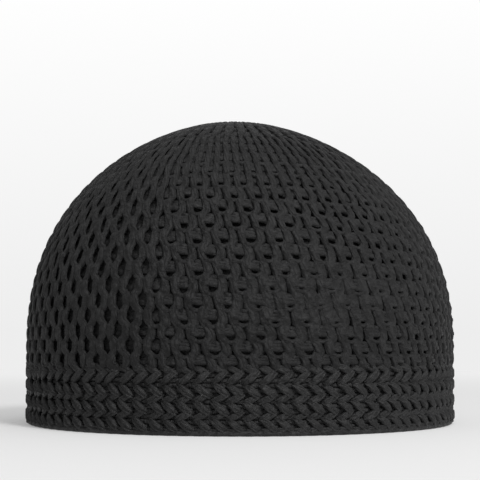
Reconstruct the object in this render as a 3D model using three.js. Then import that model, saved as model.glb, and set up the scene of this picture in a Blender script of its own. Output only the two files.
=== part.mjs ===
// A knitted cap, standing on its rim, in millimetres. +Z is up, -Y is the front, and the
// origin is the middle of the rim on the surface the cap stands on.
// Two pieces: a deep round crown of openwork cells, and a band of four knitted ridges.
import * as THREE from 'three';

// Outer size of the cap at its widest, which is also the size of the band
const HALF_WIDTH = 87;
const HALF_DEPTH = 95;
const HEIGHT = 123.2;

// The band round the head: four ridges of equal height, one above the other
const BAND_HEIGHT = 24.2;
const BAND_RIDGES = 4;
const BAND_WALL = 4.2;
const RIDGE_DEPTH = 0.9;
const RIDGE_SAMPLES = [0, 0.16, 0.5, 0.84];
const RIM_ROUND = 2.4;
const RIM_FLAT = 1.6;
const RIM_SIDE_RISE = 3;

// The crown: its wall, the seam that parts it from the band, and its dome
const CROWN_WALL = 3.4;
const SEAM_GAP = 0.3;
const SHOULDER_HEIGHT = 30;
const DOME_RISE_POWER = 2.31;
const DOME_ROUND_POWER = 1.78;

// How the worn fabric sits: the dome leans to one side, and its rows close behind the middle
const LEAN = -2.4;
const LEAN_POWER = 2.5;
const GATHER_BACK = 14;

// The openwork: cells stand in rows, and each row is half a cell round from the one below.
// A row is ROW_BASE + ROW_GROWTH * its number further along the dome than the last.
const CELLS_ROUND = 52;
const COLUMNS = 2 * CELLS_ROUND;
const CELL_ROWS = 24;
const ROW_BASE = 4.73;
const ROW_GROWTH = 0.066;
const CELL_DEPTH = 1.2;
const FADE_START_ROW = 15;
const FADE_END_ROW = 21;

// Where the gathered top has fewer columns, and the rows that the smooth inside is built on
const HALVED_FROM_ROW = 17;
const QUARTERED_FROM_ROW = 21;
const INNER_ROWS = [22, 20, 17, 14, 11, 8, 5, 2, 0];
const INNER_COLUMNS = CELLS_ROUND;

const ARC_STEPS = 2000;
const NORMAL_STEP = 1e-3;
const YARN = { color: 0x35353a, roughness: 0.95, metalness: 0 };

// Share of the full size that the dome still has at a share of its rise, and the reverse
function ringSize(rise) {
  return (1 - rise ** DOME_RISE_POWER) ** (1 / DOME_ROUND_POWER);
}

function domeRise(size) {
  return (1 - Math.min(size, 1) ** DOME_ROUND_POWER) ** (1 / DOME_RISE_POWER);
}

// Lengths along the fabric from the top of the band to the gather, on a middling side of the dome
function fabricLengths() {
  const radius = (HALF_WIDTH + HALF_DEPTH) / 2;
  const rise = HEIGHT - SHOULDER_HEIGHT;
  const upright = SHOULDER_HEIGHT - BAND_HEIGHT - SEAM_GAP;
  const lengths = [{ length: upright, size: 1 }];
  let last = { out: radius, up: 0 };
  for (let step = 1; step <= ARC_STEPS; step += 1) {
    const share = Math.sin((step / ARC_STEPS) * (Math.PI / 2));
    const here = { out: radius * ringSize(share), up: rise * share };
    const length = lengths[step - 1].length + Math.hypot(here.out - last.out, here.up - last.up);
    lengths.push({ length, size: here.out / radius });
    last = here;
  }
  return lengths;
}

const LENGTHS = fabricLengths();
const FULL_LENGTH = LENGTHS[ARC_STEPS].length;
const ROWS_LENGTH = CELL_ROWS * (ROW_BASE + ROW_GROWTH * CELL_ROWS);

function rowLength(row) {
  return (row * (ROW_BASE + ROW_GROWTH * row) * FULL_LENGTH) / ROWS_LENGTH;
}

function sizeAtLength(length) {
  const after = LENGTHS.findIndex((entry) => entry.length >= length);
  if (after <= 0) {
    return after < 0 ? 0 : 1;
  }
  const [low, high] = [LENGTHS[after - 1], LENGTHS[after]];
  const share = (length - low.length) / (high.length - low.length);
  return low.size + share * (high.size - low.size);
}

// A point of the crown's outer face. A ring is an oval that moves back as the dome closes,
// and it lies on the dome, so its front stands higher than its sides.
function crownPoint(length, turn) {
  const upright = SHOULDER_HEIGHT - BAND_HEIGHT - SEAM_GAP;
  if (length < upright) {
    const x = HALF_WIDTH * Math.sin(turn);
    const y = -HALF_DEPTH * Math.cos(turn);
    return new THREE.Vector3(x, y, BAND_HEIGHT + SEAM_GAP + length);
  }
  const size = sizeAtLength(length);
  const x = size * HALF_WIDTH * Math.sin(turn);
  const y = GATHER_BACK * (1 - size * size) - size * HALF_DEPTH * Math.cos(turn);
  const rise = domeRise(Math.hypot(x / HALF_WIDTH, y / HALF_DEPTH));
  const z = SHOULDER_HEIGHT + (HEIGHT - SHOULDER_HEIGHT) * rise;
  return new THREE.Vector3(x + LEAN * rise ** LEAN_POWER, y, z);
}

function crownNormal(length, turn) {
  const low = crownPoint(length - NORMAL_STEP, turn);
  const high = crownPoint(length + NORMAL_STEP, turn);
  const left = crownPoint(length, turn - NORMAL_STEP);
  const right = crownPoint(length, turn + NORMAL_STEP);
  return right.sub(left).cross(high.sub(low)).normalize();
}

// A closed surface built ring by ring. A ring may have half or twice as many points as its
// neighbour, and a ring of one point closes the surface.
class RingSurface {
  constructor() {
    this.positions = [];
    this.triangles = [];
  }

  addRing(points) {
    const first = this.positions.length / 3;
    points.forEach((point) => this.positions.push(point.x, point.y, point.z));
    return { first, count: points.length };
  }

  // Joins two rings with the outside on the left of the way from the first to the second
  join(low, high) {
    const steps = Math.max(low.count, high.count);
    for (let step = 0; step < steps; step += 1) {
      const corner = (ring, at) => ring.first + (Math.floor((at * ring.count) / steps) % ring.count);
      const [lowHere, lowNext] = [corner(low, step), corner(low, step + 1)];
      const [highHere, highNext] = [corner(high, step), corner(high, step + 1)];
      if (lowHere !== lowNext) {
        this.triangles.push(lowHere, lowNext, highNext);
      }
      if (highHere !== highNext) {
        this.triangles.push(lowHere, highNext, highHere);
      }
    }
  }

  joinAll(rings, closed) {
    rings.slice(1).forEach((ring, index) => this.join(rings[index], ring));
    if (closed) {
      this.join(rings[rings.length - 1], rings[0]);
    }
  }

  geometry() {
    const geometry = new THREE.BufferGeometry();
    geometry.setAttribute('position', new THREE.Float32BufferAttribute(this.positions, 3));
    geometry.setIndex(this.triangles);
    geometry.computeVertexNormals();
    return geometry;
  }
}

function ringOf(count, pointAt) {
  return Array.from({ length: count }, (_, index) => pointAt((index / count) * 2 * Math.PI, index));
}

function columnsOfRow(row) {
  if (row >= QUARTERED_FROM_ROW) {
    return COLUMNS / 4;
  }
  return row >= HALVED_FROM_ROW ? COLUMNS / 2 : COLUMNS;
}

// Cells are hollows, and the ribs between them stand proud. The relief fades at the gather.
function cellRelief(row, column) {
  if (row === 0 || row >= HALVED_FROM_ROW) {
    return -CELL_DEPTH / 2;
  }
  const fade = THREE.MathUtils.smoothstep(row, FADE_START_ROW, FADE_END_ROW);
  const isCell = (row + column) % 2 === 0;
  return isCell ? -CELL_DEPTH * (1 - fade / 2) : (-CELL_DEPTH * fade) / 2;
}

function crownRing(row, count, offsetAt) {
  const length = rowLength(row);
  return ringOf(count, (turn, column) => {
    const offset = offsetAt(column);
    return crownPoint(length, turn).addScaledVector(crownNormal(length, turn), offset);
  });
}

// The seam edge is level, so it is offset sideways only
function seamRing(count, offset) {
  return ringOf(count, (turn) => {
    const outward = new THREE.Vector3(
      Math.sin(turn) / HALF_WIDTH,
      -Math.cos(turn) / HALF_DEPTH,
      0,
    ).normalize();
    return crownPoint(0, turn).addScaledVector(outward, offset);
  });
}

function gatherPoint(offset) {
  const top = crownPoint(FULL_LENGTH, 0);
  return new THREE.Vector3(top.x, top.y, top.z + offset);
}

function crownGeometry() {
  const surface = new RingSurface();
  const outer = [surface.addRing(seamRing(COLUMNS, -CELL_DEPTH / 2))];
  for (let row = 1; row < CELL_ROWS; row += 1) {
    const points = crownRing(row, columnsOfRow(row), (column) => cellRelief(row, column));
    outer.push(surface.addRing(points));
  }
  outer.push(surface.addRing([gatherPoint(-CELL_DEPTH / 2)]));
  const inner = [surface.addRing([gatherPoint(-CROWN_WALL)])];
  INNER_ROWS.forEach((row) => {
    const points =
      row === 0
        ? seamRing(INNER_COLUMNS, -CROWN_WALL)
        : crownRing(row, INNER_COLUMNS, () => -CROWN_WALL);
    inner.push(surface.addRing(points));
  });
  surface.joinAll(outer, false);
  surface.joinAll(inner, false);
  surface.join(inner[inner.length - 1], outer[0]);
  return surface.geometry();
}

// The band's section as rows of offset from the outer face and height, going up the
// outside, over the top edge, down the inside and round the rim
function bandSection() {
  const pitch = BAND_HEIGHT / BAND_RIDGES;
  const section = [{ offset: -RIM_ROUND, height: 0 }];
  for (let ridge = 0; ridge < BAND_RIDGES; ridge += 1) {
    RIDGE_SAMPLES.forEach((share) => {
      const height = (ridge + share) * pitch;
      const groove = RIDGE_DEPTH * (1 - Math.sin(share * Math.PI) ** 0.5);
      if (height > 0) {
        const rimShare = Math.max(0, 1 - height / RIM_SIDE_RISE);
        section.push({ offset: -groove - RIM_ROUND * 0.5 * rimShare ** 2, height });
      }
    });
  }
  section.push({ offset: -RIDGE_DEPTH, height: BAND_HEIGHT });
  section.push({ offset: -BAND_WALL, height: BAND_HEIGHT });
  section.push({ offset: -BAND_WALL, height: BAND_HEIGHT / 2 });
  section.push({ offset: -BAND_WALL, height: RIM_SIDE_RISE / 3 });
  section.push({ offset: -RIM_ROUND - RIM_FLAT, height: 0 });
  return section;
}

function bandGeometry() {
  const surface = new RingSurface();
  const rings = bandSection().map(({ offset, height }) => {
    const points = ringOf(COLUMNS, (turn) => {
      const outward = new THREE.Vector2(Math.sin(turn) / HALF_WIDTH, -Math.cos(turn) / HALF_DEPTH);
      outward.normalize();
      const x = HALF_WIDTH * Math.sin(turn) + offset * outward.x;
      const y = -HALF_DEPTH * Math.cos(turn) + offset * outward.y;
      return new THREE.Vector3(x, y, height);
    });
    return surface.addRing(points);
  });
  surface.joinAll(rings, true);
  return surface.geometry();
}

function piece(name, geometry) {
  const mesh = new THREE.Mesh(geometry, new THREE.MeshStandardMaterial(YARN));
  mesh.name = name;
  return mesh;
}

const cap = new THREE.Group();
cap.add(piece('crown', crownGeometry()));
cap.add(piece('band', bandGeometry()));

export default cap;
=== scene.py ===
import bpy
import numpy as np
from bpy.props import FloatProperty, FloatVectorProperty, IntProperty, PointerProperty
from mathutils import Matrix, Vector


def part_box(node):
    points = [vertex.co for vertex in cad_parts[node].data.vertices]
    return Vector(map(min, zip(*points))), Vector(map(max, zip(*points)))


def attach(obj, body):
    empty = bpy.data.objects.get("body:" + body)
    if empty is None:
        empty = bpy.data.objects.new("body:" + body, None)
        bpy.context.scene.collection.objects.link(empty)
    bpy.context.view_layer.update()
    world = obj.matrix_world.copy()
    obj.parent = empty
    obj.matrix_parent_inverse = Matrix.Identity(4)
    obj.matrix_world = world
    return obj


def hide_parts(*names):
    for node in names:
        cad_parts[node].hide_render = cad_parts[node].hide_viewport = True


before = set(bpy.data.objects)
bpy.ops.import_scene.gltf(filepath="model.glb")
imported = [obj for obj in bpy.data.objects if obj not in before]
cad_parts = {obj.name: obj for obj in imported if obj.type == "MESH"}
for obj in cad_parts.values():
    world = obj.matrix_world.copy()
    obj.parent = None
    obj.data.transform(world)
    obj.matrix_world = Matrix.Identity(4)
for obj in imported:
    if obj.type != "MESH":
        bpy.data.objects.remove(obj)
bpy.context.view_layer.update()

bl_info = {
    "name": "Openwork knit cap",
    "version": (1, 0, 0),
    "blender": (4, 5, 0),
    "location": "3D View > Sidebar > Knit cap",
    "description": "Knits a ribbed openwork cap with a chevron band, yarn by yarn",
    "category": "Add Mesh",
}

# Lengths on the fabric are in millimetres. Those of the properties, the meshes and the
# stage are in metres
MM = 0.001
SEED = 7
CROWN_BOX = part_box("crown")
BAND_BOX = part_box("band")

# The dome, as the crown's solid has it
HALF_WIDTH = (BAND_BOX[1][0] - BAND_BOX[0][0]) / 2 / MM
HALF_DEPTH = (BAND_BOX[1][1] - BAND_BOX[0][1]) / 2 / MM
SEAM_HEIGHT = CROWN_BOX[0][2] / MM
BAND_HEIGHT = BAND_BOX[1][2] / MM
HEIGHT = 123.2
SHOULDER_HEIGHT = 30.0
DOME_RISE_POWER = 2.31
DOME_ROUND_POWER = 1.78
LEAN = -2.4
LEAN_POWER = 2.5
GATHER_BACK = 14.0

# How finely the dome is measured, and the small step that its slopes are taken over
ARC_STEPS = 4000
TINY = 1e-3

# Stitch rows: a row is ROW_BASE + ROW_GROWTH * its number further up the dome
CELLS_ROUND = 52
COLUMNS = 2 * CELLS_ROUND
CELL_ROWS = 24
ROW_BASE = 4.73
ROW_GROWTH = 0.066

# The rows over which the ribs merge two by two, and two by two again, and where they end
FIRST_MERGE = (16.4, 18.0)
SECOND_MERGE = (20.0, 21.6)
SHORT_RIB_END = 18.2
LONG_RIB_END = 21.8
GATHER_END = 23.95

# The fabric is stretched more to the right of its front than to the left
STRETCH = 0.05
STRETCH_TURN = np.radians(20)

# The columns of cells lean to the left on their way up, most on the cap's right: columns a row
FABRIC_LEAN = 0.07
FABRIC_LEAN_SIDE = 0.10
LEAN_END_ROW = 18

# The wander of the hand: how far it goes in columns and in rows, and the rows it starts
# and ends over
DRIFT_WAVES = (
    # waves round the cap, waves a row
    (3, 0.11),
    (5, 0.23),
    (9, 0.31),
    (16, 0.53),
)
COLUMN_DRIFT = 0.06
ROW_DRIFT = 0.05
DRIFT_STARTS = (0, 2)
DRIFT_ENDS = (18, 22)


class KnitCapSizes(bpy.types.PropertyGroup):
    """Sizes of the yarn and its stitches"""

    rib_half_width: FloatProperty(
        name="Merged rib half width",
        description="The most that half the width of a merged rib may be",
        default=1.87 * MM,
        subtype="DISTANCE",
        unit="LENGTH",
    )
    rib_overlap: FloatProperty(
        name="Rib overlap",
        description="How much deeper a rib lies where the next one passes over it",
        default=0.45 * MM,
        subtype="DISTANCE",
        unit="LENGTH",
    )
    joint_depth: FloatProperty(
        name="Joint depth",
        description="How much a rib dips where two stitches join",
        default=0.35 * MM,
        subtype="DISTANCE",
        unit="LENGTH",
    )
    chevrons_round: IntProperty(
        name="Chevrons round the band",
        description="How many chevrons one ridge of the band has",
        default=92,
    )
    ridges: IntProperty(
        name="Band ridges",
        description="How many ridges of chevrons the band has",
        default=4,
    )


class KnitCapColours(bpy.types.PropertyGroup):
    """Colours of the yarn and of the stage"""

    # Darker end of the yarn's colour, which the plies' grooves are drawn towards as painted shade
    yarn: FloatVectorProperty(
        name="Yarn",
        description="Charcoal of the yarn where it is even",
        default=(0.0085, 0.0085, 0.0087),
        subtype="COLOR",
        size=3,
        min=0,
        max=1,
    )
    # Paler end of the yarn's colour: worn fibres by the mottling and patches, and painted light on
    # the plies' crests, which are drawn towards it
    yarn_dusty_and_ply_lit: FloatVectorProperty(
        name="Worn yarn and ply light",
        description="Paler charcoal of the fibres that stand up",
        default=(0.0240, 0.0240, 0.0244),
        subtype="COLOR",
        size=3,
        min=0,
        max=1,
    )
    floor: FloatVectorProperty(
        name="Floor",
        description="Colour of the plain floor",
        default=(0.80, 0.80, 0.80),
        subtype="COLOR",
        size=3,
        min=0,
        max=1,
    )


def smooth_step(low, high, value):
    """0 below low, 1 above high, and the usual cubic s-curve between."""
    share = np.clip((value - low) / (high - low), 0, 1)
    return share * share * (3 - 2 * share)


def dome_table():
    """Lengths along the fabric from the seam, and the share of full size the dome has there.

    The dome's rise is a sine of evenly stepped angles, its size is the root that the two
    powers give, and the lengths add up the straight steps between them."""
    share = np.sin(np.linspace(0, np.pi / 2, ARC_STEPS))
    size = (1 - share**DOME_RISE_POWER) ** (1 / DOME_ROUND_POWER)
    radius = (HALF_WIDTH + HALF_DEPTH) / 2
    steps = np.hypot(np.diff(size) * radius, np.diff(share) * (HEIGHT - SHOULDER_HEIGHT))
    lengths = np.concatenate([[0], np.cumsum(steps)]) + SHOULDER_HEIGHT - SEAM_HEIGHT
    return lengths, size


LENGTHS, SIZES = dome_table()
FULL_LENGTH = LENGTHS[-1]
FULL_ROWS = CELL_ROWS * (ROW_BASE + ROW_GROWTH * CELL_ROWS)


def row_length(row):
    """Length up the fabric of a row number: its number times a pitch that grows with it."""
    return row * (ROW_BASE + ROW_GROWTH * row) * FULL_LENGTH / FULL_ROWS


def row_pitch(row):
    """Distance between a row and the next, which is the slope of row_length."""
    return (ROW_BASE + 2 * ROW_GROWTH * row) * FULL_LENGTH / FULL_ROWS


def ring_girth(length):
    """Length of one ring of the fabric: the dome's oval at its share of full size."""
    size = np.interp(length, LENGTHS, SIZES)
    return np.pi * (HALF_WIDTH + HALF_DEPTH) * size


def fabric_point(length, turn):
    """A point of the cap's outer face for a length up the fabric and a turn about the cap.

    Below the shoulder it is an upright oval wall. Above, an oval shrinks and moves back,
    and its height is the dome's height over that place, with the dome's lean added."""
    size = np.interp(length, LENGTHS, SIZES)
    x = size * HALF_WIDTH * np.sin(turn)
    y = GATHER_BACK * (1 - size * size) - size * HALF_DEPTH * np.cos(turn)
    out = np.minimum(np.hypot(x / HALF_WIDTH, y / HALF_DEPTH), 1)
    rise = (1 - out**DOME_ROUND_POWER) ** (1 / DOME_RISE_POWER)
    upright = length < SHOULDER_HEIGHT - SEAM_HEIGHT
    domed = SHOULDER_HEIGHT + (HEIGHT - SHOULDER_HEIGHT) * rise
    z = np.where(upright, SEAM_HEIGHT + length, domed)
    x = x + np.where(upright, 0, LEAN * rise**LEAN_POWER)
    return np.stack([x, y, z], axis=-1)


def unit(vectors):
    """The vectors, each divided by its own length."""
    return vectors / np.maximum(np.linalg.norm(vectors, axis=-1, keepdims=True), 1e-9)


def fabric_frame(length, turn):
    """The point and the outward normal of the fabric: the normal is the cross product of
    small steps round and up."""
    length = np.minimum(length, FULL_LENGTH - 10 * TINY)
    point = fabric_point(length, turn)
    up = fabric_point(length + TINY, turn) - fabric_point(length - TINY, turn)
    round_ = fabric_point(length, turn + TINY) - fabric_point(length, turn - TINY)
    return point, unit(np.cross(round_, up))


def column_turn(column):
    """Turn about the cap of a rib column: even steps, stretched and squeezed twice a turn."""
    angle = 2 * np.pi * column / COLUMNS
    return angle + STRETCH * np.sin(2 * (angle - STRETCH_TURN))


def local_stretch(column):
    """How much wider than the mean the columns are: the slope of column_turn, per even step."""
    angle = 2 * np.pi * column / COLUMNS
    return 1 + 2 * STRETCH * np.cos(2 * (angle - STRETCH_TURN))


def drift(column, row, seed, size):
    """Slow wander of the hand: a size times half the sum of sines round and up, each with a
    seeded phase."""
    rng = np.random.default_rng(seed)
    total = 0
    for waves_round, waves_up in DRIFT_WAVES:
        phase = rng.uniform(0, 2 * np.pi)
        angle = 2 * np.pi * (waves_round * column / COLUMNS + waves_up * row) + phase
        total = total + np.sin(angle)
    return size * total / 2


def on_fabric(column, row, offset):
    """Points and normals for rib columns, row numbers and heights off the outer face. The
    columns lean with the row, and the drift moves everything alike, so that stitches stay
    together."""
    fade = smooth_step(*DRIFT_STARTS, row) * (1 - smooth_step(*DRIFT_ENDS, row))
    turned = 2 * np.pi * column / COLUMNS
    lean = (FABRIC_LEAN + FABRIC_LEAN_SIDE * np.sin(turned)) * np.minimum(row, LEAN_END_ROW)
    moved_column = column - lean + fade * drift(column, row, SEED, COLUMN_DRIFT)
    moved_row = row + fade * drift(column, row, SEED + 1, ROW_DRIFT)
    point, normal = fabric_frame(row_length(moved_row), column_turn(moved_column))
    return point + normal * np.asarray(offset)[..., None], normal


def round_section(sides):
    """A tube's round section: cosines and sines of evenly spaced angles."""
    angle = 2 * np.pi * np.arange(sides) / sides
    return np.stack([np.cos(angle), np.sin(angle)], axis=-1)


class Yarn:
    """Tubes of yarn, gathered as arrays and put into one mesh.

    A tube is a section carried along a path: each of its points is the path's point plus
    the section's first number times a sideways radius, plus its second times an outward one."""

    def __init__(self):
        self.vertices = []
        self.quads = []
        self.caps = []
        self.quad_uvs = []
        self.cap_uvs = []
        self.count = 0

    def add(self, path, normal, side_radius, out_radius, section, closed, plies):
        """Adds tubes along path, an array of tubes by steps by three, with plies round each."""
        tubes, steps, _ = path.shape
        if closed:
            tangent = np.roll(path, -1, axis=1) - np.roll(path, 1, axis=1)
        else:
            tangent = np.gradient(path, axis=1)
        tangent = unit(tangent)
        side = unit(np.cross(tangent, normal))
        out = np.cross(side, tangent)
        sides = len(section)
        shape = (tubes, steps)
        side_size = np.broadcast_to(side_radius, shape)[..., None, None] * side[:, :, None]
        out_size = np.broadcast_to(out_radius, shape)[..., None, None] * out[:, :, None]
        rings = path[:, :, None] + section[:, :1] * side_size + section[:, 1:] * out_size
        self.vertices.append(rings.reshape(-1, 3))
        index = self.count + np.arange(tubes * steps * sides).reshape(tubes, steps, sides)
        self.count += index.size
        ahead = np.roll(index, -1, axis=1) if closed else index[:, 1:]
        here = index if closed else index[:, :-1]
        corners = [here, ahead, np.roll(ahead, -1, axis=2), np.roll(here, -1, axis=2)]
        quads = np.stack(corners, axis=-1)
        self.quads.append(quads.reshape(-1, 4))
        self.quad_uvs.append(self.tube_uvs(path, quads.shape, sides, plies))
        if not closed:
            caps = np.concatenate([index[:, 0], index[:, -1, ::-1]])
            self.caps.append(caps)
            self.cap_uvs.append(np.zeros((caps.size, 2)))

    @staticmethod
    def tube_uvs(path, shape, sides, plies):
        """For each quad's corners, millimetres along the yarn and plies round it."""
        step = np.linalg.norm(np.roll(path, -1, axis=1) - path, axis=-1)
        along = np.concatenate([np.zeros((len(path), 1)), np.cumsum(step, axis=1)], axis=1)
        start = along[:, : shape[1], None]
        end = along[:, 1 : shape[1] + 1, None]
        low = plies * np.arange(sides)[None, None] / sides
        high = low + plies / sides
        corners = [(start, low), (end, low), (end, high), (start, high)]
        parts = [np.stack(np.broadcast_arrays(u, v), axis=-1) for u, v in corners]
        return np.stack(parts, axis=-2).reshape(-1, 2)

    def make(self, name, material, node):
        """Writes the mesh in metres as an object that rides on the frame."""
        vertices = np.concatenate(self.vertices) * MM
        quads = np.concatenate(self.quads)
        loops = np.concatenate([quads.ravel()] + [ends.ravel() for ends in self.caps])
        cap_sizes = [np.full(len(ends), ends.shape[1]) for ends in self.caps]
        sizes = np.concatenate([np.full(len(quads), 4)] + cap_sizes)
        starts = np.concatenate([[0], np.cumsum(sizes)[:-1]])
        mesh = bpy.data.meshes.new(name)
        mesh.vertices.add(len(vertices))
        mesh.vertices.foreach_set("co", vertices.ravel())
        mesh.loops.add(len(loops))
        mesh.loops.foreach_set("vertex_index", loops.astype(np.int32))
        mesh.polygons.add(len(sizes))
        mesh.polygons.foreach_set("loop_start", starts.astype(np.int32))
        mesh.polygons.foreach_set("use_smooth", np.ones(len(sizes), dtype=bool))
        uvs = mesh.uv_layers.new(name="YarnUV")
        flat = np.concatenate(self.quad_uvs + self.cap_uvs)
        uvs.uv.foreach_set("vector", flat.ravel().astype(np.float32))
        mesh.update(calc_edges=True)
        if mesh.validate():
            raise RuntimeError(f"{name} had broken faces")
        mesh.materials.append(material)
        piece = bpy.data.objects.new(name, mesh)
        bpy.context.scene.collection.objects.link(piece)
        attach(piece, "root")
        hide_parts(node)


# Plies round each kind of yarn
RIB_PLIES = 4
THIN_PLIES = 2
ARM_PLIES = 3

# Half the depth of the thin yarn behind and under the holes and behind the gather
THIN_DEPTH = 0.75

# Where a row of the two tables below has a cell's edges
LEFT_EDGE = 1
RIGHT_EDGE = 2

# The crown's stitch over the two rows from one hole to the next in its column, in rows above
# the hole and columns from the cell's middle. The rib on the left ends at the left edge, the
# one on the right starts at the right edge, and the two touch where the edges are the same.
CELL_SHAPE = np.array(
    [
        # rows above the hole, left edge, right edge
        (0.00, -0.30, 0.34),
        (0.12, -0.30, 0.36),
        (0.41, -0.27, 0.43),
        (0.60, -0.25, 0.39),
        (0.78, -0.25, 0.29),
        (0.90, 0.05, 0.22),
        (1.04, 0.12, 0.16),
        (1.29, 0.06, 0.11),
        (1.45, 0.00, 0.05),
        (1.57, -0.03, 0.00),
        (1.72, -0.08, 0.06),
        (1.86, -0.22, 0.22),
        (2.00, -0.30, 0.34),
    ]
)

# The same on the cap's left, where the fabric is stretched and the cells are straight slots
SLOT_SHAPE = np.array(
    [
        # rows above the hole, left edge, right edge
        (0.00, -0.27, 0.29),
        (0.10, -0.30, 0.32),
        (0.90, -0.30, 0.32),
        (1.04, -0.14, 0.16),
        (1.14, 0.00, 0.02),
        (1.82, -0.02, 0.02),
        (1.92, -0.16, 0.16),
        (2.00, -0.27, 0.29),
    ]
)

# How many rows up and down a cell's edge is averaged over
EDGE_BLUR = 0.08

# Degrees to the left of the front over which the cells become slots
LEFT_TURNS = (8, 27)

# Towards the top the cells are straight slits: half their width in columns, the rows they
# become so over, how open they are, and the rows over which their yarn changes
TOP_SLIT = 0.16
STRAIGHT_ROWS = (10, 14)
TOP_OPEN = 0.4
TOP_ROWS = (9, 14)

# The slack patch: its middle and its reach, in degrees right of the front and in rows, and
# how much narrower its cells are
SLACK_TURN = 24.0
SLACK_WIDTH = 24.0
SLACK_ROW = 4.2
SLACK_ROWS = 2.5
SLACK_NARROWING = 0.88

# A rib's section: two strands pressed together with a shallow groove, and a keel behind
RIB_SECTION = np.array(
    [
        # sideways, outward
        (1.00, 0.00),
        (0.87, 0.50),
        (0.52, 0.92),
        (0.00, 0.80),
        (-0.52, 0.92),
        (-0.87, 0.50),
        (-1.00, 0.00),
        (0.00, -0.60),
    ]
)

# A rib's path: the shares of a row that it has points at, its first row, the least room
# before its end, and how much its edges wander, in columns
RIB_SAMPLES = np.array([-0.12, 0.04, 0.22, 0.42, 0.62, 0.78])
RIB_START_ROW = -0.5
RIB_END_ROOM = 0.05
RIB_WANDER = 0.025

# Where in a row two stitches join, how many rows of a rib that takes up, how much it pinches
# the rib, and how much the stitches differ in width
STITCH_JOINT = -0.12
JOINT_ROWS = 0.13
JOINT_PINCH = 0.08
STITCH_LOOSENESS = 0.05

# How full of rib its room is, how much fuller in the slack patch and on the left, and the
# least and the most that half a rib's width may be
RIB_FILL = 1.03
SLACK_FILL = 0.05
LEFT_FILL = 0.05
RIB_SIDE_LIMITS = (0.45, 3.2)

# Half a rib's depth: its least, the share of half the width that is added, its most, and how
# much flatter ribs are on the left
RIB_LEAST_DEPTH = 0.35
RIB_DEPTH_SHARE = 0.62
RIB_MOST_DEPTH = 1.45
LEFT_FLATTENING = 0.35

# A merged rib's share of the room for its half width, and the least that it may be
MERGED_SHARE = 0.47
MERGED_LEAST = 0.55

# Rows above the hole on its right at which a rib is proudest, how far it sinks behind the
# band and over which rows, and how far its end sinks and over how many rows, under the
# neighbour that it merges into or at the gather
RIB_CREST = 1.36
BAND_SINK = 1.6
BAND_SINK_ROWS = (-0.45, 0.05)
UNDER_END = (2.6, 1.3)
TOP_END = (1.6, 0.9)

# The yarn across a cell: columns from its middle, and the depth of each strand's middle
PAD_SHAPE = np.array(
    [
        # columns, low strand, middle strand, top strand
        (-0.66, -0.95, -1.30, -2.60),
        (-0.46, -0.68, -1.05, -2.40),
        (-0.26, -0.72, -1.15, -2.60),
        (-0.04, -0.84, -1.22, -1.35),
        (0.16, -1.00, -1.35, -1.40),
        (0.35, -2.20, -2.30, -2.40),
        (1.00, -2.70, -2.70, -2.70),
    ]
)

# The shares of a row that the three strands lie at, and the rows over which they fall back
PAD_SHARES = (0.29, 0.49, 0.70)
PAD_FADE_ROWS = (14.5, 16.5)

# Half a strand's depth, and half its height as a share of a row: where the cells are closed,
# how much more where they are open, and the most in millimetres
PAD_RADIUS = 0.72
PAD_HEIGHT = 0.20
OPEN_HEIGHT = 0.07
PAD_TALLEST = 1.6

# How a strand differs from cell to cell, in depth and in rows, how far it hangs in the slack
# patch, and how it slants across a cell, which reaches to PAD_END columns from its middle
PAD_LOOSE_DEPTH = 0.12
PAD_LOOSE_ROWS = 0.03
PAD_SLACK_DROP = 0.10
PAD_SLANT = 0.05
PAD_END = 0.9

# How far the strands sink where the cells are open, where they lie behind the ribs, and how
# that changes on the left and towards the top
OPEN_SINK = 2.3
BACK_OFFSET = -2.5
LEFT_BACK_SINK = 0.8
TOP_BACK_RISE = 0.6

# The rings behind the holes: how far above a hole's row, how deep, how much less so towards
# the top, half their height as a share of a row, and the columns between their points
HOLE_BACK_ROW = 0.06
HOLE_BACK_OFFSET = -3.3
HOLE_BACK_RISE = 0.9
HOLE_BACK_HEIGHT = 0.46
HOLE_BACK_STEP = 0.5

# The rings behind the gather: their rows, how deep they are, and half their height
GATHER_ROWS = np.append(np.arange(20.3, 23.7, 0.3), (23.8, GATHER_END))
GATHER_BACK_OFFSET = -2.6
GATHER_BACK_HEIGHT = 1.15

# The strand under a hole: its points in columns, and its bow, which is the share of
# FOOT_BOW_WIDTH to a power and lifts it by rows and sinks it
FOOT_ACROSS = np.array([-0.62, -0.42, -0.20, 0.0, 0.22, 0.44, 0.64])
FOOT_BOW_WIDTH = 0.42
FOOT_BOW_POWER = 1.6
FOOT_BOW_LIFT = 0.13
FOOT_BOW_SINK = 0.10

# How many rows under its hole it hangs, how much that differs, and how much less in the
# slack patch
FOOT_DROP = 0.31
FOOT_DROP_SPREAD = 0.025
FOOT_SLACK_LIFT = 0.17

# Its depth, how much more where the cells are open, how far its ends sink and over which
# columns, and half its height as a share of a row
FOOT_OFFSET = -1.02
FOOT_OPEN_SINK = 0.25
FOOT_END_SINK = 2.0
FOOT_END_COLUMNS = (0.40, 0.72)
FOOT_HEIGHT = 0.16


def front_angle(column):
    """Degrees from the cap's front to a column, less than 0 on its left."""
    return 360 * (np.remainder(column + COLUMNS / 2, COLUMNS) - COLUMNS / 2) / COLUMNS


def left_share(column):
    """How far a column is on the cap's left: an s-curve from 0 to 1 over LEFT_TURNS."""
    return smooth_step(*LEFT_TURNS, -front_angle(column))


def open_share(column, row):
    """How open the cells are, from 0 to 1: closed by their yarn at the front, open slots on
    the cap's left, and partly open towards its top, where the fabric is stretched."""
    return np.maximum(left_share(column), TOP_OPEN * smooth_step(*TOP_ROWS, row))


def slackness(column, row):
    """How slack the cells are, from 0 to 1: a bell round and up, low on the cap's front and
    right of its middle, where the holes have nearly closed."""
    across = (front_angle(column) - SLACK_TURN) / SLACK_WIDTH
    up = (row - SLACK_ROW) / SLACK_ROWS
    return np.exp(-(across**2) - up**2)


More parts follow.
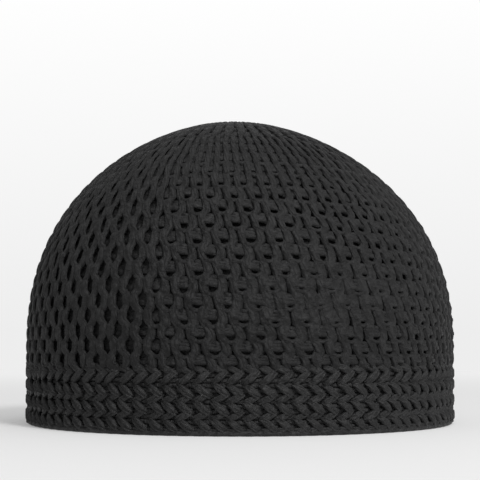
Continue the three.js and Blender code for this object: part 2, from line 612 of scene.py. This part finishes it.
def cell_edge(column, row, side):
    """A cell's left or right edge, in columns from its middle: straight lines between the
    rows of CELL_SHAPE, and on the cap's left of SLOT_SHAPE, again every two rows, averaged
    over a little more and less. Towards the top it is straight, TOP_SLIT off."""
    left = left_share(column)
    top = smooth_step(*STRAIGHT_ROWS, row)
    near = [np.remainder(row - column + step, 2) for step in (-EDGE_BLUR, 0, 0, EDGE_BLUR)]
    cell, slot = (
        sum(np.interp(phase, shape[:, 0], shape[:, side]) for phase in near) / len(near)
        for shape in (CELL_SHAPE, SLOT_SHAPE)
    )
    straight = TOP_SLIT if side == RIGHT_EDGE else -TOP_SLIT
    return (cell * (1 - left) + slot * left) * (1 - top) + straight * top


def merged_half_width(row, widest):
    """Half the width of a rib that has merged with its neighbours: a set share of the room
    that they had together, up to the widest."""
    first = smooth_step(*FIRST_MERGE, row)
    second = smooth_step(*SECOND_MERGE, row)
    pitch = ring_girth(row_length(row)) / COLUMNS * (1 + first) * (1 + second)
    return np.clip(MERGED_SHARE * pitch, MERGED_LEAST, widest)


def rib_edges(ribs, row, slack, rng):
    """Where a rib starts and ends, in columns: at the right edge of its own column's cell and
    the left edge of the next column's. Slack cells are narrower. Both edges wander, by a
    seeded draw for each half row, with s-curves between."""
    wander = rng.normal(0, RIB_WANDER, size=(2, COLUMNS + 1, 2 * CELL_ROWS + 8))
    half_row = 2 * (row + 1)
    step = np.floor(half_row).astype(int)
    part = smooth_step(0, 1, half_row - step)
    moved = [w[ribs, step] * (1 - part) + w[ribs, step + 1] * part for w in wander]
    width = 1 - SLACK_NARROWING * slack
    start = ribs + cell_edge(ribs, row, RIGHT_EDGE) * width + moved[0] * (1 + slack)
    end = ribs + 1 + cell_edge(ribs + 1, row, LEFT_EDGE) * width + moved[1] * (1 + slack)
    return start, end


def rib_sink(ribs, row, joint, end_row, ends_under, sizes):
    """How far a rib's crest lies under the outer face: the overlap times a cosine wave two
    rows long, the joint's depth at each joint, and s-curves behind the band and at its end."""
    low = 0.5 - 0.5 * np.cos(np.pi * (row - ribs - RIB_CREST))
    sink = sizes.rib_overlap / MM * low * (1 - smooth_step(*FIRST_MERGE, row))
    sink = sink + sizes.joint_depth / MM * joint
    sink = sink + BAND_SINK * (1 - smooth_step(*BAND_SINK_ROWS, row))
    end_sink, end_rows = UNDER_END if ends_under else TOP_END
    return sink + end_sink * smooth_step(end_row - end_rows, end_row, row)


def rib_paths(ribs, end_row, ends_under, sizes):
    """The ribs with these numbers, from behind the band to end_row.

    A rib fills the room between its edges. It is proudest a little above the hole on its
    right, and it dips at each row, where two stitches join: a bell in the row's share.
    Further up it closes on the middle of the pair that it merges into, and of the four
    after that. Its depth grows with its width."""
    rows = (np.arange(-1, int(end_row) + 1)[:, None] + RIB_SAMPLES).ravel()
    rows = rows[(rows > RIB_START_ROW) & (rows < end_row - RIB_END_ROOM)]
    row = np.append(rows, end_row)[None]
    ribs = np.asarray(ribs)[:, None]
    rng = np.random.default_rng(SEED + 2)
    first = smooth_step(*FIRST_MERGE, row)
    second = smooth_step(*SECOND_MERGE, row)
    slack = slackness(ribs + 0.5, row)
    start, end = rib_edges(ribs, row, slack, rng)
    pair = 2 * (ribs // 2) + 1
    four = 4 * (ribs // 4) + 2
    centre = (start + end) / 2 * (1 - first) + (pair * (1 - second) + four * second) * first
    pitch = ring_girth(row_length(row)) / COLUMNS * (1 + slack * (local_stretch(ribs + 0.5) - 1))
    merged = merged_half_width(row, sizes.rib_half_width / MM)
    half = (end - start) / 2 * (1 - first) + merged / pitch * first
    joint = np.exp(-(((np.remainder(row - STITCH_JOINT + 0.5, 1) - 0.5) / JOINT_ROWS) ** 2))
    looseness = rng.normal(1, STITCH_LOOSENESS, size=(COLUMNS, CELL_ROWS + 2))
    loose = looseness[ribs % COLUMNS, np.floor(row - STITCH_JOINT).astype(int)]
    fill = RIB_FILL + SLACK_FILL * slack + LEFT_FILL * left_share(ribs + 0.5)
    side_radius = np.clip(fill * half * pitch, *RIB_SIDE_LIMITS) * loose * (1 - JOINT_PINCH * joint)
    out_radius = np.minimum(RIB_LEAST_DEPTH + RIB_DEPTH_SHARE * side_radius, RIB_MOST_DEPTH)
    out_radius = out_radius * (1 - LEFT_FLATTENING * left_share(ribs))
    sink = rib_sink(ribs, row, joint, end_row, ends_under, sizes)
    path, normal = on_fabric(centre, row, -out_radius - sink)
    return path, normal, side_radius, out_radius


def pad_rings(rows):
    """The yarn that pads the cells: for each row three closed rings, one above the other.

    Across a cell a ring comes forward by PAD_SHAPE, less OPEN_SINK where the cells are open,
    and elsewhere it lies behind the ribs. Towards the gather all of it does."""
    strands = len(PAD_SHARES)
    row_number = np.repeat(np.asarray(rows), strands)[:, None]
    strand = np.tile(np.arange(strands), len(rows))
    share = np.asarray(PAD_SHARES)[strand][:, None]
    cell = np.arange(CELLS_ROUND)[None, :, None]
    across = PAD_SHAPE[:, 0][None, None]
    count = len(row_number)
    column = (2 * cell + (row_number % 2)[:, :, None] + across).reshape(count, -1)
    depth = np.tile(PAD_SHAPE[:, 1:].T[strand], (1, CELLS_ROUND))
    fade = 1 - smooth_step(*PAD_FADE_ROWS, row_number)
    rng = np.random.default_rng(SEED + 3)
    loose = rng.normal(0, 1, size=(len(rows), CELLS_ROUND))
    loose = np.repeat(np.repeat(loose, strands, axis=0), len(PAD_SHAPE), axis=1)
    opened = open_share(column, row_number)
    depth = depth - OPEN_SINK * opened
    back = BACK_OFFSET - LEFT_BACK_SINK * left_share(column)
    back = back + TOP_BACK_RISE * smooth_step(*TOP_ROWS, row_number)
    forward = smooth_step(0, 1, depth - back)
    offset = back + (np.maximum(depth - back, 0) + PAD_LOOSE_DEPTH * loose * forward) * fade
    slant = np.where(across < PAD_END, -PAD_SLANT * across, 0)
    slant = np.tile(slant, (1, CELLS_ROUND, 1)).reshape(1, -1)
    slack = slackness(column, row_number)
    row = row_number + share + slant + (PAD_LOOSE_ROWS * loose - PAD_SLACK_DROP * slack) * forward
    path, normal = on_fabric(column, row, offset)
    height = np.minimum((PAD_HEIGHT + OPEN_HEIGHT * opened) * row_pitch(row_number), PAD_TALLEST)
    return path, normal, height, PAD_RADIUS


def hole_backs(rows):
    """One deep closed ring for each row, level with its holes, and less deep by an s-curve
    towards the top."""
    row = np.asarray(rows)[:, None] + HOLE_BACK_ROW
    column = np.arange(0, COLUMNS, HOLE_BACK_STEP)[None]
    offset = HOLE_BACK_OFFSET + HOLE_BACK_RISE * smooth_step(*TOP_ROWS, row)
    path, normal = on_fabric(column, row, offset)
    return path, normal, HOLE_BACK_HEIGHT * row_pitch(row), THIN_DEPTH


def gather_backs():
    """Level rings close together behind the gather, from the ribs' second merge to the top."""
    row = GATHER_ROWS[:, None]
    column = np.arange(0, COLUMNS, 2)[None]
    path, normal = on_fabric(column, row, GATHER_BACK_OFFSET)
    return path, normal, GATHER_BACK_HEIGHT, THIN_DEPTH


def hole_feet(rows):
    """A short bowed strand under each hole: its middle hangs lowest and lies level with the
    ribs, a power of the distance from it lifts and sinks the rest, and an s-curve takes its
    ends in under the ribs."""
    grids = np.meshgrid(rows, np.arange(CELLS_ROUND), indexing="ij")
    row_number, cell = (grid.reshape(-1, 1) for grid in grids)
    column = 2 * cell + row_number % 2 + FOOT_ACROSS
    bow = np.abs(FOOT_ACROSS / FOOT_BOW_WIDTH) ** FOOT_BOW_POWER
    rng = np.random.default_rng(SEED + 4)
    drop = rng.normal(FOOT_DROP, FOOT_DROP_SPREAD, size=cell.shape)
    drop = drop - FOOT_SLACK_LIFT * slackness(column, row_number)
    row = row_number - drop + FOOT_BOW_LIFT * bow
    offset = FOOT_OFFSET - FOOT_OPEN_SINK * open_share(column, row_number) - FOOT_BOW_SINK * bow
    offset = offset - FOOT_END_SINK * smooth_step(*FOOT_END_COLUMNS, np.abs(FOOT_ACROSS))
    path, normal = on_fabric(column, row, offset)
    return path, normal, FOOT_HEIGHT * row_pitch(row_number), THIN_DEPTH


def curve_through(points, steps):
    """Points along a smooth curve through the given ones: between two of them, the cubic
    whose slopes are half the way between the neighbours of each."""
    points = np.asarray(points, dtype=float)
    before_first = 2 * points[:1] - points[1:2]
    after_last = 2 * points[-1:] - points[-2:-1]
    padded = np.concatenate([before_first, points, after_last])
    place = np.linspace(0, len(points) - 1, steps)
    index = np.minimum(place.astype(int), len(points) - 2)
    t = (place - index)[:, None]
    before, here, after, beyond = (padded[index + k] for k in range(4))
    return 0.5 * (
        2 * here
        + (after - before) * t
        + (2 * before - 5 * here + 4 * after - beyond) * t**2
        + (3 * here - before - 3 * after + beyond) * t**3
    )


# A chevron's two arms. Across is in chevron pitches and up in ridge heights from its tip
LONG_ARM = (
    # across, up, depth of the middle, radius
    (-0.82, 0.57, -2.80, 0.80),
    (-0.62, 0.45, -1.90, 1.08),
    (-0.42, 0.30, -1.40, 1.34),
    (-0.20, 0.12, -1.36, 1.38),
    (0.02, -0.06, -1.75, 1.20),
    (0.24, -0.20, -2.60, 0.90),
)
SHORT_ARM = (
    # across, up, depth of the middle, radius
    (-0.90, -0.50, -2.80, 0.75),
    (-0.68, -0.44, -2.10, 0.98),
    (-0.44, -0.34, -1.72, 1.10),
    (-0.18, -0.21, -1.70, 1.10),
    (0.06, -0.06, -2.00, 1.00),
    (0.27, 0.06, -2.70, 0.80),
)

# How many points an arm has, how much wider than deep each arm is, and how much the tables'
# radii grow, with the most that a radius may be
ARM_STEPS = 10
LONG_ARM_WIDTH = 1.00
SHORT_ARM_WIDTH = 1.15
ARM_GROWTH = 1.04
ARM_LARGEST = 1.48

# An arm's section: two strands with a groove between them, and a keel behind
ARM_SECTION = np.array(
    [
        # sideways, outward
        (1.00, 0.05),
        (0.84, 0.76),
        (0.44, 1.00),
        (0.00, 0.58),
        (-0.44, 1.00),
        (-0.84, 0.76),
        (-1.00, 0.05),
        (0.00, -0.90),
    ]
)

# The height of a chevron's tip in its ridge, and the room kept above the rim and over the seam
TIP_HEIGHT = 0.44
RIM_CLEARANCE = 1.80
SEAM_ROOM = 0.4

# How chevrons differ: along the ridge in pitches, up in ridge heights, outwards, and each
# arm in size
NUDGE_SPREAD = 0.05
LIFT_SPREAD = 0.025
PROUD_SPREAD = 0.16
SWELL_SPREAD = 0.08

# The rings behind the chevrons: how many, the heights of the first above the rim and of the
# last below the seam, their depth, how far they wave, and half their height and depth
BACK_RINGS = 13
FIRST_BACK = 1.15
LAST_BACK = 0.9
BAND_BACK_OFFSET = -2.70
BAND_BACK_WAVE = 0.15
BAND_BACK_HEIGHT = 1.05
BAND_BACK_DEPTH = 0.85

# The cord under the lowest ridge: its height and how far that waves, its depth, and half its
# own height and depth
CORD_LEVEL = 1.06
CORD_WAVE = 0.05
CORD_OFFSET = -1.75
CORD_HEIGHT = 1.0
CORD_DEPTH = 0.95


def chevron_draw(rng, spread, shape):
    """A seeded draw for each chevron, the same for both of its arms."""
    return np.repeat(rng.normal(0, spread, size=shape), 2, axis=2).reshape(-1, 1)


def chevron_arms(sizes):
    """The band's yarn: each chevron is a long arm that comes down to its tip and a short one
    that comes up to it, both smooth curves through their tables. In the top ridge the long
    arm is the lower one."""
    per_ridge = sizes.chevrons_round
    ridges = sizes.ridges
    pitch_turn = 2 * np.pi / per_ridge
    ridge_height = BAND_HEIGHT / ridges
    shapes = np.stack([curve_through(arm, ARM_STEPS) for arm in (LONG_ARM, SHORT_ARM)])
    grids = np.meshgrid(np.arange(ridges), np.arange(per_ridge), [0, 1], indexing="ij")
    ridge, number, arm = (grid.reshape(-1, 1) for grid in grids)
    across, up, depth, radius = (shapes[arm[:, 0], :, k] for k in range(4))
    rng = np.random.default_rng(SEED + 5)
    shape = (ridges, per_ridge, 1)
    nudge = chevron_draw(rng, NUDGE_SPREAD, shape)
    lift = chevron_draw(rng, LIFT_SPREAD, shape)
    proud = chevron_draw(rng, PROUD_SPREAD, shape)
    swell = rng.normal(1, SWELL_SPREAD, size=ridge.shape)
    is_top = ridge == ridges - 1
    tip = np.where(is_top, 1 - TIP_HEIGHT, TIP_HEIGHT)
    height = (ridge + tip + lift + np.where(is_top, -up, up)) * ridge_height
    height = np.clip(height, RIM_CLEARANCE, BAND_HEIGHT + SEAM_ROOM)
    turn = (number + nudge + across) * pitch_turn
    radius = np.minimum(ARM_GROWTH * radius * swell, ARM_LARGEST)
    offset = np.minimum(depth + proud, -radius)
    point, normal = fabric_frame(height - SEAM_HEIGHT, turn)
    side_radius = radius * np.where(arm == 0, LONG_ARM_WIDTH, SHORT_ARM_WIDTH)
    return point + normal * offset[..., None], normal, side_radius, radius


def band_back(sizes):
    """Level rings of yarn behind the chevrons, evenly spaced from the rim to the seam, whose
    depth is a cosine wave that every other ring has upside down."""
    steps = 2 * sizes.chevrons_round
    height = np.linspace(FIRST_BACK, BAND_HEIGHT - LAST_BACK, BACK_RINGS)[:, None]
    turn = 2 * np.pi * np.arange(steps)[None] / steps
    flip = np.arange(BACK_RINGS)[:, None] * np.pi
    wave = BAND_BACK_WAVE * np.cos(turn * sizes.chevrons_round / 2 + flip)
    point, normal = fabric_frame(height - SEAM_HEIGHT, turn)
    path = point + normal * (BAND_BACK_OFFSET + wave)[..., None]
    return path, normal, BAND_BACK_HEIGHT, BAND_BACK_DEPTH


def rim_cord(sizes):
    """One cord under the lowest ridge, whose height is a cosine wave with each chevron."""
    steps = 4 * sizes.chevrons_round
    turn = 2 * np.pi * np.arange(steps)[None] / steps
    height = CORD_LEVEL + CORD_WAVE * np.cos(turn * sizes.chevrons_round)
    point, normal = fabric_frame(height - SEAM_HEIGHT, turn)
    return point + normal * CORD_OFFSET, normal, CORD_HEIGHT, CORD_DEPTH


# The yarn's plies: the millimetres in which one moves round by its own width, the power that
# shapes them, how strong they are at least, and how much the mottling adds
PLY_PITCH = 7.0
PLY_POWER = 0.6
PLY_LEAST = 0.25
PLY_MOTTLING = 0.50

# Noise on the yarn, by its scale and its detail, and the part of the mottling that is used
FIBRE_NOISE = (900, 3)
PATCH_NOISE = (45, 2)
MOTTLE_NOISE = (420, 3)
MOTTLE_RANGE = (0.40, 0.60)

# What the colour is made of, with shade painted into the plies' grooves and light onto their
# crests, the roughness and what the fibres add, and the bump
MOTTLE_COLOUR = 0.6
PATCH_COLOUR = 0.4
# These two paint shade into the plies' grooves and light onto their crests: how strongly, and the
# share of the colour left in a groove
PLY_PAINTED_SHADING = 0.5
GROOVE_PAINTED_SHADE = 0.75
PLAIN_ROUGHNESS = 0.52
FIBRE_ROUGHNESS = 0.20
MOTTLE_HEIGHT = 1.6
BUMP_STRENGTH = 0.8
BUMP_DISTANCE = 0.0006
SHEEN = 0.02
SHEEN_ROUGHNESS = 0.5
CROWN_SPECULAR = 0.18
BAND_SPECULAR = 0.34

# What goes into the node group of the finish and what comes out
FINISH_INPUTS = (
    # name, kind, default
    ("Colour", "NodeSocketColor", (0.05, 0.05, 0.05, 1)),
    # The fibre colour is also the painted light that the plies' crests are drawn towards
    ("Fibre and ply light colour", "NodeSocketColor", (0.08, 0.08, 0.08, 1)),
    ("Ply pitch", "NodeSocketFloat", PLY_PITCH),
)
FINISH_OUTPUTS = (
    # name, kind
    ("Colour", "NodeSocketColor"),
    ("Roughness", "NodeSocketFloat"),
    ("Height", "NodeSocketFloat"),
)


def new_material(name):
    """A material with its nodes, its links and its shader."""
    material = bpy.data.materials.new(name)
    material.use_nodes = True
    tree = material.node_tree
    return material, tree.nodes, tree.links, tree.nodes["Principled BSDF"]


def map_range(tree, value, ends, results=(0, 1), smooth=False):
    """A node that takes one range of values to another, evenly or by an s-curve."""
    node = tree.nodes.new("ShaderNodeMapRange")
    for name, number in zip(("From Min", "From Max", "To Min", "To Max"), (*ends, *results)):
        node.inputs[name].default_value = number
    if smooth:
        node.interpolation_type = "SMOOTHSTEP"
    tree.links.new(value, node.inputs["Value"])
    return node.outputs["Result"]


def yarn_finish_group():
    """Spun yarn as a node group that puts out a colour, a roughness and a height.

    The plies are the absolute sine of half turns, which are the plies round the yarn less the
    ply pitches along it, raised to a power, and stronger where the mottling is. The colour
    goes to that of the fibres with the mottling and with slow patches, and with the plies,
    which paint shade into their grooves and light onto their crests. Fine fibres add to the
    roughness, and they and the mottling add to the plies' height."""
    group = bpy.data.node_groups.new("Spun yarn", "ShaderNodeTree")
    for name, kind, default in FINISH_INPUTS:
        socket = group.interface.new_socket(name=name, in_out="INPUT", socket_type=kind)
        socket.default_value = default
    for name, kind in FINISH_OUTPUTS:
        group.interface.new_socket(name=name, in_out="OUTPUT", socket_type=kind)
    nodes, links = group.nodes, group.links
    start = nodes.new("NodeGroupInput")
    end = nodes.new("NodeGroupOutput")
    place = nodes.new("ShaderNodeTexCoord")
    uv = nodes.new("ShaderNodeUVMap")
    uv.uv_map = "YarnUV"
    split = nodes.new("ShaderNodeSeparateXYZ")
    links.new(uv.outputs["UV"], split.inputs["Vector"])

    def math(operation, *values):
        """A node that does one operation on numbers or on other nodes' outputs."""
        node = nodes.new("ShaderNodeMath")
        node.operation = operation
        for socket, value in zip(node.inputs, values):
            if isinstance(value, (int, float)):
                socket.default_value = value
            else:
                links.new(value, socket)
        return node.outputs[0]

    def noise(scale, detail):
        """A node of noise over the object's own space, at a scale and a detail."""
        node = nodes.new("ShaderNodeTexNoise")
        node.inputs["Scale"].default_value = scale
        node.inputs["Detail"].default_value = detail
        links.new(place.outputs["Object"], node.inputs["Vector"])
        return node.outputs["Fac"]

    turns = math("DIVIDE", split.outputs["X"], start.outputs["Ply pitch"])
    half_turns = math("MULTIPLY", math("SUBTRACT", split.outputs["Y"], turns), np.pi)
    ply_wave = math("ABSOLUTE", math("SINE", half_turns))
    fibres = noise(*FIBRE_NOISE)
    patches = noise(*PATCH_NOISE)
    mottle = noise(*MOTTLE_NOISE)
    spread = map_range(group, mottle, MOTTLE_RANGE)
    ply_size = math("ADD", math("MULTIPLY", spread, PLY_MOTTLING), PLY_LEAST)
    ply = math("MULTIPLY", math("POWER", ply_wave, PLY_POWER), ply_size)
    mottle_part = math("MULTIPLY", spread, MOTTLE_COLOUR)
    patch_part = math("MULTIPLY", patches, PATCH_COLOUR)
    # The plies paint shade into the colour in their grooves and light onto it on their crests
    ply_painted_shade = math("ADD", math("MULTIPLY", ply, PLY_PAINTED_SHADING), GROOVE_PAINTED_SHADE)
    fibre_and_ply_shade_mask = math("MULTIPLY", math("ADD", mottle_part, patch_part), ply_painted_shade)
    mix = nodes.new("ShaderNodeMix")
    mix.data_type = "RGBA"
    links.new(fibre_and_ply_shade_mask, mix.inputs[0])
    links.new(start.outputs["Colour"], mix.inputs[6])
    links.new(start.outputs["Fibre and ply light colour"], mix.inputs[7])
    links.new(mix.outputs[2], end.inputs["Colour"])
    roughness = math("ADD", math("MULTIPLY", fibres, FIBRE_ROUGHNESS), PLAIN_ROUGHNESS)
    links.new(roughness, end.inputs["Roughness"])
    rough_part = math("ADD", fibres, math("MULTIPLY", mottle, MOTTLE_HEIGHT))
    links.new(math("ADD", ply, rough_part), end.inputs["Height"])
    return group


def yarn_material(name, colours, group, specular):
    """Matt spun yarn: the group's colour, roughness and height, and a soft sheen."""
    material, nodes, links, shader = new_material(name)
    finish = nodes.new("ShaderNodeGroup")
    finish.node_tree = group
    finish.inputs["Colour"].default_value = (*colours.yarn, 1)
    finish.inputs["Fibre and ply light colour"].default_value = (*colours.yarn_dusty_and_ply_lit, 1)
    finish.inputs["Ply pitch"].default_value = PLY_PITCH
    bump = nodes.new("ShaderNodeBump")
    bump.inputs["Strength"].default_value = BUMP_STRENGTH
    bump.inputs["Distance"].default_value = BUMP_DISTANCE
    links.new(finish.outputs["Colour"], shader.inputs["Base Color"])
    links.new(finish.outputs["Roughness"], shader.inputs["Roughness"])
    links.new(finish.outputs["Height"], bump.inputs["Height"])
    links.new(bump.outputs["Normal"], shader.inputs["Normal"])
    shader.inputs["Specular IOR Level"].default_value = specular
    shader.inputs["Sheen Weight"].default_value = SHEEN
    shader.inputs["Sheen Roughness"].default_value = SHEEN_ROUGHNESS
    return material


def material_named(name, specular):
    """The yarn material of that name, made the first time it is asked for."""
    found = bpy.data.materials.get(name)
    if found:
        return found
    group = bpy.data.node_groups.get("Spun yarn") or yarn_finish_group()
    return yarn_material(name, bpy.context.scene.knit_cap_colours, group, specular)


class KNITCAP_OT_ribs(bpy.types.Operator):
    """Knits the crown's ribs, which sway round its cells and merge towards its top"""

    bl_idname = "knitcap.ribs"
    bl_label = "Ribs"

    def execute(self, context):
        sizes = context.scene.knit_cap_sizes
        material = material_named("spun_crown_yarn", CROWN_SPECULAR)
        short = Yarn()
        self.knit(short, np.arange(1, COLUMNS, 2), SHORT_RIB_END, True, sizes)
        short.make("crown_short_ribs", material, "crown")
        long_ = Yarn()
        self.knit(long_, np.arange(2, COLUMNS, 4), LONG_RIB_END, True, sizes)
        self.knit(long_, np.arange(0, COLUMNS, 4), GATHER_END, False, sizes)
        long_.make("crown_long_ribs", material, "crown")
        return {"FINISHED"}

    @staticmethod
    def knit(yarn, ribs, end_row, ends_under, sizes):
        """Adds the ribs with these numbers to the yarn."""
        paths = rib_paths(ribs, end_row, ends_under, sizes)
        yarn.add(*paths, RIB_SECTION, False, RIB_PLIES)


class KNITCAP_OT_courses(bpy.types.Operator):
    """Knits the courses that run round the crown and pad its cells"""

    bl_idname = "knitcap.courses"
    bl_label = "Courses"

    def execute(self, context):
        material = material_named("spun_crown_yarn", CROWN_SPECULAR)
        zones = (
            # name, rows
            ("crown_pads_low", range(0, 8)),
            ("crown_pads_middle", range(8, 16)),
            ("crown_pads_high", range(16, 23)),
        )
        for name, rows in zones:
            yarn = Yarn()
            yarn.add(*pad_rings(rows), round_section(6), True, THIN_PLIES)
            yarn.make(name, material, "crown")
        feet = Yarn()
        feet.add(*hole_feet(np.arange(1, 15)), round_section(6), False, THIN_PLIES)
        feet.add(*hole_backs(np.arange(0, 23)), round_section(5), True, THIN_PLIES)
        feet.add(*gather_backs(), round_section(5), True, THIN_PLIES)
        feet.make("crown_hole_feet", material, "crown")
        return {"FINISHED"}


class KNITCAP_OT_band(bpy.types.Operator):
    """Knits the band's ridges of chevrons and the rings behind them"""

    bl_idname = "knitcap.band"
    bl_label = "Band"

    def execute(self, context):
        sizes = context.scene.knit_cap_sizes
        material = material_named("spun_band_yarn", BAND_SPECULAR)
        arms = Yarn()
        arms.add(*chevron_arms(sizes), ARM_SECTION, False, ARM_PLIES)
        arms.make("band_ridges", material, "band")
        back = Yarn()
        back.add(*band_back(sizes), round_section(6), True, THIN_PLIES)
        back.add(*rim_cord(sizes), round_section(8), True, THIN_PLIES)
        back.make("band_back", material, "band")
        return {"FINISHED"}


# The framing, in metres: the eye's height and distance, the lens and sensor in millimetres,
# the picture's width in pixels, and the row of pixels that is level with the eye
EYE_HEIGHT = 0.037
EYE_DISTANCE = 0.650
LENS = 118.5
SENSOR = 36.0
PICTURE = 480
EYE_LEVEL_ROW = 331.0
NEAREST = 0.01

# The backdrop's colour at the horizon, how it brightens upwards, and how far back it starts
HORIZON_COLOUR = (0.85, 0.85, 0.85)
BACKDROP_RISE = 0.70
BACKDROP_TURN = (0.75, 0.93)

# The studio's light: the way it grows, and how dark and light its two ends are
LIGHT_SLOPE = (0.65, -0.50, 0.57)
STUDIO_ENDS = (0.07, 0.58)
LIGHTS = (
    # name, place, size, watts
    ("key_light", (0.6, -1.15, 1.2), 0.35, 17),
    ("top_light", (0.2, -0.3, 1.7), 0.7, 5),
)
LIGHT_TARGET = (0, 0, 0.06)

# The floor: its sides and rings, and how it passes into the horizon's colour
FLOOR_SIDES = 96
FLOOR_RADII = np.array([0.3, 1.0, 3.0, 12.0, 60.0])
FLOOR_FADE = (0.10, 0.80)
FLOOR_GLOW = (0.30, 1)
FLOOR_ROUGHNESS = 0.9
FLOOR_SPECULAR = 0.1


def floor_material(colours):
    """Pale matt floor that passes into the horizon's colour by an s-curve of the distance."""
    material, nodes, links, shader = new_material("pale_floor")
    place = nodes.new("ShaderNodeTexCoord")
    length = nodes.new("ShaderNodeVectorMath")
    length.operation = "LENGTH"
    links.new(place.outputs["Object"], length.inputs[0])
    far = map_range(material.node_tree, length.outputs["Value"], FLOOR_FADE, FLOOR_GLOW, True)
    shader.inputs["Base Color"].default_value = (*colours.floor, 1)
    shader.inputs["Roughness"].default_value = FLOOR_ROUGHNESS
    shader.inputs["Specular IOR Level"].default_value = FLOOR_SPECULAR
    glow = nodes.new("ShaderNodeEmission")
    glow.inputs["Color"].default_value = (*HORIZON_COLOUR, 1)
    mix = nodes.new("ShaderNodeMixShader")
    links.new(far, mix.inputs["Fac"])
    links.new(shader.outputs["BSDF"], mix.inputs[1])
    links.new(glow.outputs["Emission"], mix.inputs[2])
    links.new(mix.outputs["Shader"], nodes["Material Output"].inputs["Surface"])
    return material


class KNITCAP_OT_stage(bpy.types.Operator):
    """Sets the pale floor, the soft studio light and the camera"""

    bl_idname = "knitcap.stage"
    bl_label = "Stage"

    def execute(self, context):
        scene = context.scene
        scene.view_settings.view_transform = "Standard"
        self.floor(scene)
        self.world(scene)
        for name, place, size, watts in LIGHTS:
            self.light(scene, name, place, size, watts)
        self.camera(scene)
        return {"FINISHED"}

    @staticmethod
    def floor(scene):
        """A disc: cosines and sines of even angles times growing radii, round its middle."""
        turn = 2 * np.pi * np.arange(FLOOR_SIDES) / FLOOR_SIDES
        rim = np.stack([np.cos(turn), np.sin(turn), 0 * turn], axis=-1)
        rings = FLOOR_RADII[:, None, None] * rim
        vertices = np.concatenate([[(0, 0, 0)], rings.reshape(-1, 3)])
        index = 1 + np.arange(rings.shape[0] * FLOOR_SIDES).reshape(-1, FLOOR_SIDES)
        ahead = np.roll(index, -1, axis=1)
        fan = np.stack([np.zeros(FLOOR_SIDES, dtype=int), index[0], ahead[0]], axis=-1)
        quads = np.stack([index[:-1], index[1:], ahead[1:], ahead[:-1]], axis=-1).reshape(-1, 4)
        mesh = bpy.data.meshes.new("floor")
        mesh.from_pydata(vertices.tolist(), [], fan.tolist() + quads.tolist())
        mesh.materials.append(floor_material(scene.knit_cap_colours))
        floor = bpy.data.objects.new("floor", mesh)
        scene.collection.objects.link(floor)

    @staticmethod
    def world(scene):
        """A pale backdrop behind the cap, and light that grows to the right and upwards."""
        scene.world = bpy.data.worlds.new("studio")
        scene.world.use_nodes = True
        tree = scene.world.node_tree
        nodes, links = tree.nodes, tree.links
        place = nodes.new("ShaderNodeTexCoord")
        slope = nodes.new("ShaderNodeVectorMath")
        slope.operation = "DOT_PRODUCT"
        slope.inputs[1].default_value = LIGHT_SLOPE
        links.new(place.outputs["Generated"], slope.inputs[0])
        shade = map_range(tree, slope.outputs["Value"], (-1, 1), STUDIO_ENDS)
        split = nodes.new("ShaderNodeSeparateXYZ")
        links.new(place.outputs["Generated"], split.inputs["Vector"])
        back = map_range(tree, split.outputs["Y"], BACKDROP_TURN, smooth=True)
        rise = nodes.new("ShaderNodeMath")
        rise.operation = "MULTIPLY_ADD"
        rise.inputs[1].default_value = BACKDROP_RISE
        rise.inputs[2].default_value = HORIZON_COLOUR[0]
        links.new(split.outputs["Z"], rise.inputs[0])
        mix = nodes.new("ShaderNodeMix")
        mix.data_type = "RGBA"
        links.new(back, mix.inputs[0])
        links.new(shade, mix.inputs[6])
        links.new(rise.outputs["Value"], mix.inputs[7])
        links.new(mix.outputs[2], nodes["Background"].inputs["Color"])

    @staticmethod
    def light(scene, name, place, size, watts):
        """A round area light at its place, aimed at the cap's middle."""
        lamp = bpy.data.lights.new(name, "AREA")
        lamp.shape = "DISK"
        lamp.size = size
        lamp.energy = watts
        light = bpy.data.objects.new(name, lamp)
        light.location = place
        aim = Vector(LIGHT_TARGET) - Vector(place)
        light.rotation_euler = aim.to_track_quat("-Z", "Y").to_euler()
        scene.collection.objects.link(light)

    @staticmethod
    def camera(scene):
        """The camera at the eye, tilted up by the angle whose tangent is the pixels from the
        picture's middle to the eye's level, over the focal length in pixels."""
        data = bpy.data.cameras.new("camera")
        data.lens = LENS
        data.sensor_width = SENSOR
        data.clip_start = NEAREST
        camera = bpy.data.objects.new("camera", data)
        camera.location = (0, -EYE_DISTANCE, EYE_HEIGHT)
        focal_pixels = LENS / SENSOR * PICTURE
        tilt = np.arctan((EYE_LEVEL_ROW - PICTURE / 2) / focal_pixels)
        camera.rotation_euler = (np.pi / 2 + tilt, 0, 0)
        scene.collection.objects.link(camera)
        scene.camera = camera


class KNITCAP_PT_panel(bpy.types.Panel):
    """Lists the cap's operators, sizes and colours"""

    bl_idname = "KNITCAP_PT_panel"
    bl_label = "Knit cap"
    bl_space_type = "VIEW_3D"
    bl_region_type = "UI"
    bl_category = "Knit cap"

    def draw(self, context):
        column = self.layout.column()
        for operator in OPERATORS:
            column.operator(operator.bl_idname)
        for group in (context.scene.knit_cap_sizes, context.scene.knit_cap_colours):
            for name in group.__annotations__:
                column.prop(group, name)


OPERATORS = (
    KNITCAP_OT_ribs,
    KNITCAP_OT_courses,
    KNITCAP_OT_band,
    KNITCAP_OT_stage,
)
CLASSES = (KnitCapSizes, KnitCapColours, *OPERATORS, KNITCAP_PT_panel)


def register():
    for cls in CLASSES:
        bpy.utils.register_class(cls)
    bpy.types.Scene.knit_cap_sizes = PointerProperty(type=KnitCapSizes)
    bpy.types.Scene.knit_cap_colours = PointerProperty(type=KnitCapColours)


def unregister():
    del bpy.types.Scene.knit_cap_colours
    del bpy.types.Scene.knit_cap_sizes
    for cls in reversed(CLASSES):
        bpy.utils.unregister_class(cls)


def main():
    register()
    bpy.ops.knitcap.ribs()
    bpy.ops.knitcap.courses()
    bpy.ops.knitcap.band()
    bpy.ops.knitcap.stage()


if __name__ == "__main__":
    main()
